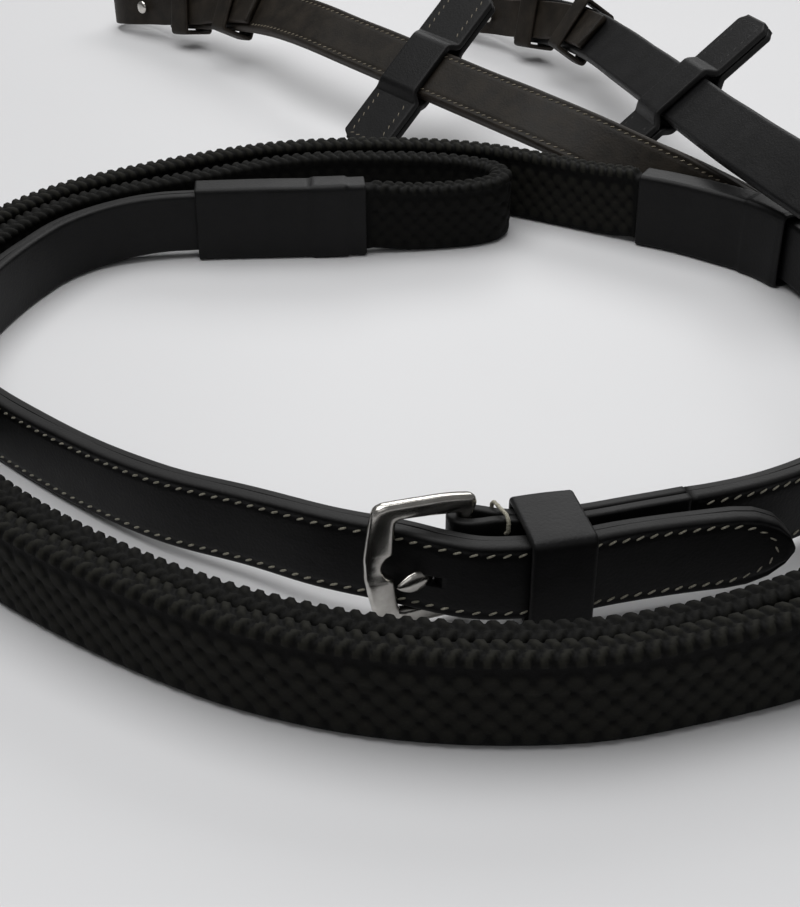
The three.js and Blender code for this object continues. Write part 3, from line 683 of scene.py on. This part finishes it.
loopRound(
    "centre_keeper", pointCentre, keeperSet["centreAt"], strapThick + keeperSet["apart"] + 0.4, strapSet["width"],
    keeperSet["centreLength"], leather, -keeperSet["apart"] / 2,
)
print("wraps and keeper made")


stopSet = {
    "length": 72.0, "tabWide": 22.0, "neckWide": 18.5, "thick": 2.3, "clear": 0.15, "slideGap": 0.4,
    "ramp": 4.0, "pointAt": 343.0, "buckleAt": 276.0,
}


# Half a stop: a strip that lies flat at both tabs and steps out round the strap between them.
def stopHalf(name, route, at, side, body):
    c = stopSet
    out = strapThick / 2 + c["slideGap"] + c["thick"] / 2
    near = c["clear"] + c["thick"] / 2
    half = strapSet["width"] / 2 + c["slideGap"]
    across = np.linspace(-c["length"] / 2, c["length"] / 2, 120)
    share = smoothShare((half + c["ramp"] - np.abs(across)) / c["ramp"])
    off = (near + (out - near) * share) * side
    slope = np.gradient(off, across)
    tilt = 1 / np.sqrt(1 + slope**2)
    # The strip is narrower where it goes round the strap: its section's length shrinks with wide.
    wide = c["neckWide"] + (c["tabWide"] - c["neckWide"]) * (1 - share)
    section = sectionOf(c["thick"], c["tabWide"], 0.7, 26, 3, 4)
    thickness, length = section[:, 0], section[:, 1]
    axes = axesAt(route, at * milli)
    line, along, left, width = (axes[key][0] for key in ("line", "along", "side", "width"))
    grow = wide / c["tabWide"]
    endRound = smoothShare((c["length"] / 2 - np.abs(across)) / 3.0) * 0.3 + 0.7
    offs = (off[:, None] + thickness[None] * tilt[:, None]) * milli
    ups = (across[:, None] - thickness[None] * (slope * tilt)[:, None]) * milli
    lengths = length[None] * grow[:, None] * endRound[:, None] * milli
    points = line + offs[..., None] * left + ups[..., None] * width + lengths[..., None] * -along
    verts, faces = closedBody(points)
    rim = smoothShare((np.abs(length) - c["tabWide"] / 2 + 1.4) / 1.2)
    marks = {"rim": np.broadcast_to(rim, offs.shape)}
    finishPiece(name + "_strip", verts, faces, leather, body, (name,), marks)


for half, route, place in (
    ("point_half", pointCheek, stopSet["pointAt"]), ("buckle_half", buckleCheek, stopSet["buckleAt"]),
):
    stopHalf(f"{half}_stop_front", route, place, 1, f"{half}_stop")
    stopHalf(f"{half}_stop_back", route, place, -1, f"{half}_stop")
print("rein stops made")


billetSet = {"width": 15.5, "thick": 2.4, "gap": 0.5, "sewn": 66.0, "studAt": 12.0, "studOff": 2.2}
# The eye: distance past the end of the cheek strap, then off to the left.
eyeRows = [
    [10, 4.6], [18, 6], [26, 6.4], [32, 5], [35.4, 2.4], [36, 0], [35.4, -2.4], [32, -5], [26, -6.4],
    [18, -6], [10, -4.6],
]


def beside(route, rows):
    rows = np.array(rows, float) * milli
    axes = axesAt(route, rows[:, 0])
    return bandOf(axes["line"] + axes["side"] * rows[:, 1:], axes["width"])


def flatBand(name, route, thick, wide, material, replaced, corner=0.55, step=1.4):
    section = sectionOf(thick, wide, corner, 26, 3, 4)
    places = np.linspace(0, endOf(route), int(endOf(route) / (step * milli)))
    offs = (section[None, :, 0] + 0 * places[:, None]) * milli
    ups = (section[None, :, 1] + 0.1 * drift(places, 3.3)[:, None] * (section[None, :, 1] > wide / 2 - 1)) * milli
    verts, faces = closedBody(carry(route, places, offs, ups))
    rim = smoothShare((np.abs(section[:, 1]) - wide / 2 + 1.3) / 1.2)
    marks = {"rim": np.broadcast_to(rim, offs.shape)}
    return finishPiece(name, verts, faces, material, "root", replaced, marks)


# A lathed shape: radius and height along a profile, turned once round its axis.
def turned(name, centre, axis, across, profile, material, replaced, body="root", around=28):
    profile = np.array(profile, float) * milli
    angle = np.arange(around) / around * 2 * math.pi
    third = np.cross(axis, across)
    ring = np.cos(angle)[:, None] * across + np.sin(angle)[:, None] * third
    points = centre + profile[:, None, :1] * ring[None] + profile[:, None, 1:] * axis
    verts, faces = closedBody(points)
    return finishPiece(name, verts, faces, material, body, replaced)


studProfile = [
    [0.6, -0.6], [3.4, -0.6], [3.8, -0.2], [3.8, 0.3], [3.4, 0.6], [1.5, 0.75], [1.3, 1.2], [1.3, 4.6],
    [1.6, 5.0], [2.5, 5.1], [2.8, 5.4], [2.8, 5.8], [2.4, 6.3], [1.4, 6.5], [0.3, 6.55],
]


def billetAt(half, route):
    b = billetSet
    end = endOf(route) / milli
    off = strapThick / 2 + b["gap"] + b["thick"] / 2
    forward = [[end + s, off] for s in np.arange(-b["sewn"], 5, 11)]
    turn = [[end + s, aside] for s, aside in eyeRows]
    back = [[end + s, -off] for s in np.arange(0, 5.9 - b["sewn"], -10)]
    band = beside(route, forward + turn + back)
    flatBand(
        f"{half}_billet_band", band, b["thick"], b["width"], cheekLeather, (f"{half}_billet",)
    )
    bundle = strapThick + 2 * (b["thick"] + b["gap"])
    for place, inset in (("near", 46), ("far", 12)):
        loopRound(
            f"{half}_billet_keeper_{place}", route, end - inset, bundle, strapSet["width"], keeperSet["length"],
            cheekLeather,
        )
    spot = axesAt(route, (end + b["studAt"]) * milli)
    line, along, side = (spot[key][0] for key in ("line", "along", "side"))
    turned(
        f"{half}_stud", line + side * b["studOff"] * milli, side, along, studProfile, steel,
        (f"{half}_hook_stud",),
    )


billetAt("point_half", pointCheek)
billetAt("buckle_half", buckleCheek)
print("billets made")


buckleSet = {"hinge": [14, 259.4, 15.7], "turn": 25.0, "lean": 4.0, "tongueTurn": 6.0}
# Half of the frame, from the middle of the hinge bar to the middle of the far bar:
# inner x and z, outer x and z, thickness, and how square the section is.
ringRows = [
    [1.5, 0, -1.5, 0, 3.0, 2.0], [1.5, 5, -1.5, 5, 3.0, 2.0], [1.5, 8.2, -1.5, 8.6, 3.0, 2.0],
    [1.6, 9.3, -2.0, 10.4, 3.0, 2.2], [2.1, 10.0, -2.5, 12.2, 3.0, 2.6], [3.4, 10.3, -1.2, 14.0, 3.0, 3.0],
    [6, 10.5, 4, 14.8, 3.0, 3.2], [10, 10.8, 10, 15.0, 3.0, 3.2], [13.6, 11.0, 16.4, 15.1, 3.0, 3.2],
    [15.6, 10.9, 19.6, 14.9, 3.0, 3.2], [16.4, 10.0, 21.3, 13.4, 3.0, 3.2], [16.7, 7, 22.6, 8, 3.0, 3.2],
    [16.9, 4.4, 23.3, 4.2, 3.0, 3.2], [17.1, 3.2, 23.5, 3.1, 2.9, 3.2], [18.3, 2.5, 23.6, 2.1, 2.8, 3.2],
    [19.4, 1.3, 23.6, 1.0, 2.7, 3.2], [19.8, 0, 23.6, 0, 2.7, 3.2],
]
farRise = 0.085  # the frame climbs this much towards its far bar
turnBack = math.radians(buckleSet["turn"])
leanBack = math.radians(buckleSet["lean"])
hinge = (np.array(buckleSet["hinge"]) + tableShift) * milli
frameAlong = np.array([-math.cos(turnBack), -math.sin(turnBack), 0.0])
frameBack = -np.cross([0, 0, 1], frameAlong)
frameUp = np.array([0, 0, math.cos(leanBack)]) + frameBack * math.sin(leanBack)
frameAcross = np.cross(frameUp, frameAlong)


def buckleToTable(x, y, z):
    return hinge + milli * (x[..., None] * frameAlong + y[..., None] * frameAcross + z[..., None] * frameUp)


# The frame as a ring: its section is a squared oval between the inner and outer edges.
def buckleRing():
    half = np.array(ringRows, float)
    mirrored = half[-2:0:-1] * np.array([1, -1, 1, -1, 1, 1])
    rows = np.vstack([half, mirrored])
    count, fine = len(rows), 10
    spot = np.arange(count * fine) / fine
    i = spot.astype(int)
    t = (spot - i)[:, None]
    a, b, c, d = (rows[(i + k) % count] for k in (-1, 0, 1, 2))
    ring = 0.5 * (2 * b + (c - a) * t + (2 * a - 5 * b + 4 * c - d) * t**2 + (3 * b - a - 3 * c + d) * t**3)
    angle = np.arange(32) / 32 * 2 * math.pi
    power = 2 / ring[:, 5:6]
    acrossBar = np.sign(np.cos(angle)) * np.abs(np.cos(angle)) ** power
    throughBar = np.sign(np.sin(angle)) * np.abs(np.sin(angle)) ** power
    share = (acrossBar + 1) / 2
    x = ring[:, 0:1] + (ring[:, 2:3] - ring[:, 0:1]) * share
    z = ring[:, 1:2] + (ring[:, 3:4] - ring[:, 1:2]) * share
    y = throughBar * ring[:, 4:5] / 2
    return buckleToTable(x, y, z + farRise * np.clip(x, 0, None)), len(ring)


ringPoints, ringCount = buckleRing()
finishPiece(
    "buckle_ring", ringPoints.reshape(-1, 3), gridFaces(ringCount, 32, True), steel, "root",
    ("buckle_frame",),
)

# The tongue's shank and leaf: distance from the hinge bar, half height, half thickness.
tongueRows = [
    [2.4, 1.2, 1.1], [4, 1.15, 1.05], [8, 1.0, 0.9], [9.4, 1.1, 0.85], [10.4, 1.6, 0.9], [12, 2.25, 0.95],
    [13.6, 2.5, 0.95], [15.2, 2.2, 0.85], [16.6, 1.5, 0.65], [17.6, 0.75, 0.4], [18.1, 0.15, 0.12],
]


def tonguePiece():
    rows = np.array(tongueRows, float)
    x = np.linspace(rows[0, 0], rows[-1, 0], 60)
    high, thick = np.interp(x, rows[:, 0], rows[:, 1]), np.interp(x, rows[:, 0], rows[:, 2])
    angle = np.arange(20) / 20 * 2 * math.pi
    bow = 1.75 * smoothShare((x - 7) / 4)
    droop = 2.0 * smoothShare((x - 3) / 9)
    shankX = x[:, None] + 0 * angle[None]
    shankZ = high[:, None] * np.cos(angle)[None] - droop[:, None]
    shankY = bow[:, None] - thick[:, None] * np.sin(angle)[None] * (1 + 0.25 * np.abs(np.sin(angle)[None]) ** 3)
    around = np.arange(36) / 36 * 2 * math.pi
    ringOut = 2.55 + 0.75 * np.cos(angle)[None]
    eyeX = ringOut * np.cos(around)[:, None]
    eyeY = ringOut * np.sin(around)[:, None]
    eyeZ = 1.5 * np.sin(angle)[None] + 0 * around[:, None]
    swing = math.radians(buckleSet["tongueTurn"])

    def swung(px, py, pz):
        turnedX = px * math.cos(swing) - py * math.sin(swing)
        turnedY = px * math.sin(swing) + py * math.cos(swing)
        return buckleToTable(turnedX, turnedY, pz)

    shankVerts, shankFaces = closedBody(swung(shankX, shankY, shankZ))
    eyeVerts = swung(eyeX, eyeY, eyeZ).reshape(-1, 3)
    eyeFaces = [face[::-1] for face in gridFaces(36, 20, True, start=len(shankVerts))]
    verts = np.vstack([shankVerts, eyeVerts])
    return finishPiece(
        "tongue_leaf", verts, shankFaces + eyeFaces, steel, "buckle_tongue", ("buckle_tongue",)
    )


tonguePiece()
print("buckle made")


chapeSet = {"thick": 2.45, "threadAt": 8.5}
foldRows = [
    [49, -1.38], [36, -1.38], [24, -1.38], [12, -1.4], [6.5, -1.75], [3, -2.75], [0, -3.15],
    [-2.3, -2.2], [-3.2, 0], [-2.3, 2.2], [0, 3.15], [3, 2.75], [6.5, 1.75], [12, 1.4], [24, 1.38],
    [36, 1.38], [49, 1.38],
]
chapeFold = flatBand(
    "chape_fold", beside(buckleCentre, foldRows), chapeSet["thick"], strapSet["width"], leather,
    ("chape",), 0.6, 0.8,
)


# Cuts a box, given in the buckle's axes by its middle and size, out of a piece.
def cutSlot(piece, middle, size):
    signs = np.array([[x, y, z] for x in (-1, 1) for y in (-1, 1) for z in (-1, 1)])
    corners = np.array(middle) + signs * np.array(size) / 2
    verts = buckleToTable(corners[:, 0], corners[:, 1], corners[:, 2])
    faces = [[0, 1, 3, 2], [4, 6, 7, 5], [0, 4, 5, 1], [2, 3, 7, 6], [0, 2, 6, 4], [1, 5, 7, 3]]
    mesh = bpy.data.meshes.new("slotCutter")
    mesh.from_pydata(verts.tolist(), [], faces)
    cutter = bpy.data.objects.new("slotCutter", mesh)
    bpy.context.scene.collection.objects.link(cutter)
    cut = piece.modifiers.new("slot", "BOOLEAN")
    cut.operation = "DIFFERENCE"
    cut.object = cutter
    bpy.context.view_layer.update()
    made = bpy.data.meshes.new_from_object(piece.evaluated_get(bpy.context.evaluated_depsgraph_get()))
    piece.modifiers.remove(cut)
    piece.data = made
    bpy.data.objects.remove(cutter)


cutSlot(chapeFold, (1.8, 0, -0.3), (12.5, 14, 5.0))
# The hole is wider in the hidden lining, where the tongue turns, than in the face that shows.
pointFace, pointLining = pointLayers
cutSlot(pointFace, (10.4, 0, -1.7), (3.0, 22, 2.6))
cutSlot(pointLining, (9.2, 0, -1.3), (10.0, 22, 5.4))


# A tube round a closed loop: the thread's own radius added round each point of the loop.
def threadLoop():
    c = chapeSet
    loop = sectionOf(strapThick + 2.4, 4.6, 1.6, 10, 8, 6)
    axes = axesAt(buckleCentre, c["threadAt"] * milli)
    line, along, side, width = (axes[key][0] for key in ("line", "along", "side", "width"))
    middle = line + width * (strapSet["width"] / 2 - 1.0) * milli
    outward = outwardOf(loop)
    angle = np.arange(10) / 10 * 2 * math.pi
    radius = 0.46
    twist = 1 + 0.1 * np.sin(np.arange(len(loop)) * 1.9)
    grown = loop[:, None] + outward[:, None] * (radius * np.cos(angle))[None, :, None] * twist[:, None, None]
    skew = -1.4 - 1.5 * loop[:, :1] / (strapThick / 2 + 1.2)
    lengths = radius * np.sin(angle)[None] * twist[:, None] + skew
    points = (
        middle + milli * (grown[..., :1] * side + grown[..., 1:] * width + lengths[..., None] * along)
    )
    faces = [face[::-1] for face in gridFaces(len(loop), 10, True)]
    finishPiece("chape_thread", points.reshape(-1, 3), faces, paleThread, "root", ("tack_thread",))


threadLoop()
print("chape made")


stitchSet = {"length": 2.15, "wide": 0.62, "high": 0.26, "slant": 25.0}


# Evenly spaced spots on a drawn line, and the way the line runs at each.
def spacedOn(line, pitch):
    line = np.array(line, float)
    length = np.concatenate([[0], np.cumsum(np.linalg.norm(np.diff(line, axis=0), axis=1))])
    spots = np.arange(pitch / 2, length[-1], pitch)
    at = np.stack([np.interp(spots, length, line[:, k]) for k in range(2)], axis=-1)
    ahead = np.stack([np.interp(spots + 0.6, length, line[:, k]) for k in range(2)], axis=-1)
    behind = np.stack([np.interp(spots - 0.6, length, line[:, k]) for k in range(2)], axis=-1)
    return at, unit(ahead - behind)


# One stitch is a small closed grain, set at each middle along its direction, proud of the leather.
def sew(name, middles, directions, outwards, material, body="root", size=1.0):
    st = stitchSet
    ringShare = np.array([-0.86, -0.4, 0.4, 0.86])
    ringWide = np.sqrt(1 - ringShare**2)
    angle = np.arange(6) / 6 * 2 * math.pi
    grain = np.stack(np.broadcast_arrays(
        ringShare[:, None] * st["length"] / 2, ringWide[:, None] * np.cos(angle) * st["wide"] / 2,
        ringWide[:, None] * np.sin(angle) * st["high"],
    ), axis=-1)
    shell, shellFaces = closedBody(grain * size)
    slant = math.radians(st["slant"])
    sideways = np.cross(outwards, directions)
    first = unit(directions * math.cos(slant) + sideways * math.sin(slant))
    second = np.cross(outwards, first)
    verts = middles[:, None] + milli * (
        shell[None, :, :1] * first[:, None] + shell[None, :, 1:2] * second[:, None]
        + shell[None, :, 2:] * outwards[:, None]
    )
    shift = np.arange(len(middles)) * len(shell)
    faces = [[corner + int(k) for corner in face] for k in shift for face in shellFaces]
    finishPiece(name, verts.reshape(-1, 3), faces, material, body)


# Lines drawn as length along the strap and height on it, sewn on its side at a distance off.
def sewOnStrap(name, route, lines, side, off, pitch, material, size=1.0):
    spots = [spacedOn(line, pitch) for line in lines]
    at = np.vstack([spot[0] for spot in spots])
    way = np.vstack([spot[1] for spot in spots])
    axes = axesAt(route, at[:, 0] * milli)
    outwards = axes["side"] * side
    middles = axes["line"] + axes["width"] * at[:, 1:] * milli + outwards * off * milli
    directions = unit(axes["along"] * way[:, :1] + axes["width"] * way[:, 1:])
    sew(name, middles, directions, outwards, material, "root", size)


faceTop = faceMiddle + strapSet["faceThick"] / 2 - 0.12
rowHeight = strapSet["grooveAt"]
pointEnd = endOf(pointCentre) / milli - 27
buckleEnd = endOf(buckleCentre) / milli - 27
pointCheekEnd = endOf(pointCheek) / milli - 68
buckleCheekEnd = endOf(buckleCheek) / milli - 68
# The row runs in along the top, round the point and back along the bottom.
upperTip = [[pointEnd, rowHeight], [19, rowHeight], [14, 6.9], [10, 5.7], [6.9, 3.7], [5.4, 1.6], [5.1, 0]]
pointOutline = upperTip + [[along, -height] for along, height in upperTip[-2::-1]]
sewOnStrap("point_centre_stitches", pointCentre, [pointOutline], 1, faceTop, 3.15, paleThread)
sewOnStrap(
    "buckle_centre_stitches", buckleCentre,
    [[[52, height], [buckleEnd, height]] for height in (rowHeight, -rowHeight)], -1, faceTop, 3.2, paleThread,
)
sewOnStrap(
    "point_cheek_stitches", pointCheek,
    [[[28, height], [pointCheekEnd, height]] for height in (rowHeight, -rowHeight)], 1, faceTop, 2.9, tanThread,
    0.86,
)
sewOnStrap(
    "buckle_cheek_stitches", buckleCheek,
    [[[28, height], [buckleCheekEnd, height]] for height in (rowHeight, -rowHeight)], -1, faceTop, 2.9, tanThread,
    0.86,
)


# A row of stitches round three sides of each tab, on the outside of one half of a stop.
def sewTabs(name, route, at, side, material, body):
    c = stopSet
    axes = axesAt(route, at * milli)
    line, along, left, width = (axes[key][0] for key in ("line", "along", "side", "width"))
    inner = strapSet["width"] / 2 + c["slideGap"] + c["ramp"] + 1.5
    outer = c["length"] / 2 - 2.6
    edge = 7.2
    lines = [
        [[-edge, sign * inner], [-edge, sign * outer], [edge, sign * outer], [edge, sign * inner]] for sign in (1, -1)
    ]
    spots = [spacedOn(drawn, 3.0) for drawn in lines]
    place = np.vstack([spot[0] for spot in spots])
    way = np.vstack([spot[1] for spot in spots])
    outwards = np.repeat((left * side)[None], len(place), axis=0)
    off = c["clear"] + c["thick"] - 0.1
    middles = line + (along * place[:, :1] + width * place[:, 1:]) * milli + outwards * off * milli
    sew(name, middles, along * way[:, :1] + width * way[:, 1:], outwards, material, body, 0.9)


for side, word in ((1, "front"), (-1, "back")):
    sewTabs(f"point_half_stop_{word}_stitches", pointCheek, stopSet["pointAt"], side, tanThread, "point_half_stop")
    sewTabs(f"buckle_half_stop_{word}_stitches", buckleCheek, stopSet["buckleAt"], side, darkThread, "buckle_half_stop")
print("stitching made")


tableSet = {"reach": 6.0, "tone": shade(0.7, 0.7, 0.71), "deeper": shade(0.67, 0.67, 0.68)}


def tableTop():
    reach = tableSet["reach"]
    mesh = bpy.data.meshes.new("tableTop")
    corners = [(-reach, -reach, 0), (reach, -reach, 0), (reach, reach, 0), (-reach, reach, 0)]
    mesh.from_pydata(corners, [], [[0, 1, 2, 3]])
    sheet = FinishSheet("paleTable")
    sheet.set(
        Base_Color=sheet.between(sheet.noise(6.0), tableSet["tone"], tableSet["deeper"]), Roughness=0.42,
        Specular_IOR_Level=0.3,
    )
    mesh.materials.append(sheet.material)
    top = bpy.data.objects.new("tableTop", mesh)
    bpy.context.scene.collection.objects.link(top)


def softBox(name, place, aim, size, power):
    light = bpy.data.lights.new(name, "AREA")
    light.shape = "RECTANGLE"
    light.size, light.size_y = size
    light.energy = power
    box = bpy.data.objects.new(name, light)
    box.location = place
    away = np.array(place) - np.array(aim)
    flat = math.hypot(away[0], away[1])
    box.rotation_euler = (math.atan2(flat, away[2]), 0, math.atan2(away[1], away[0]) + math.pi / 2)
    bpy.context.scene.collection.objects.link(box)


lightSet = {"world": 0.15, "overhead": 18.6, "rear": 8.2, "front": 1.4}
tableTop()
softBox("overheadSoftBox", (-0.25, 0.1, 1.35), (0, 0, 0), (1.5, 1.3), lightSet["overhead"])
softBox("rearSoftBox", (0.35, 1.3, 0.9), (0, 0, 0), (1.3, 0.6), lightSet["rear"])
softBox("frontSoftBox", (0.3, -1.2, 0.9), (0, 0, 0), (1.0, 0.7), lightSet["front"])
world = bpy.data.worlds.new("studio")
world.use_nodes = True
world.node_tree.nodes["Background"].inputs["Color"].default_value = (1, 1, 1, 1)
world.node_tree.nodes["Background"].inputs["Strength"].default_value = lightSet["world"]
bpy.context.scene.world = world
bpy.context.scene.view_settings.view_transform = "Standard"  # keeps the blacks deep
print("table and light set")
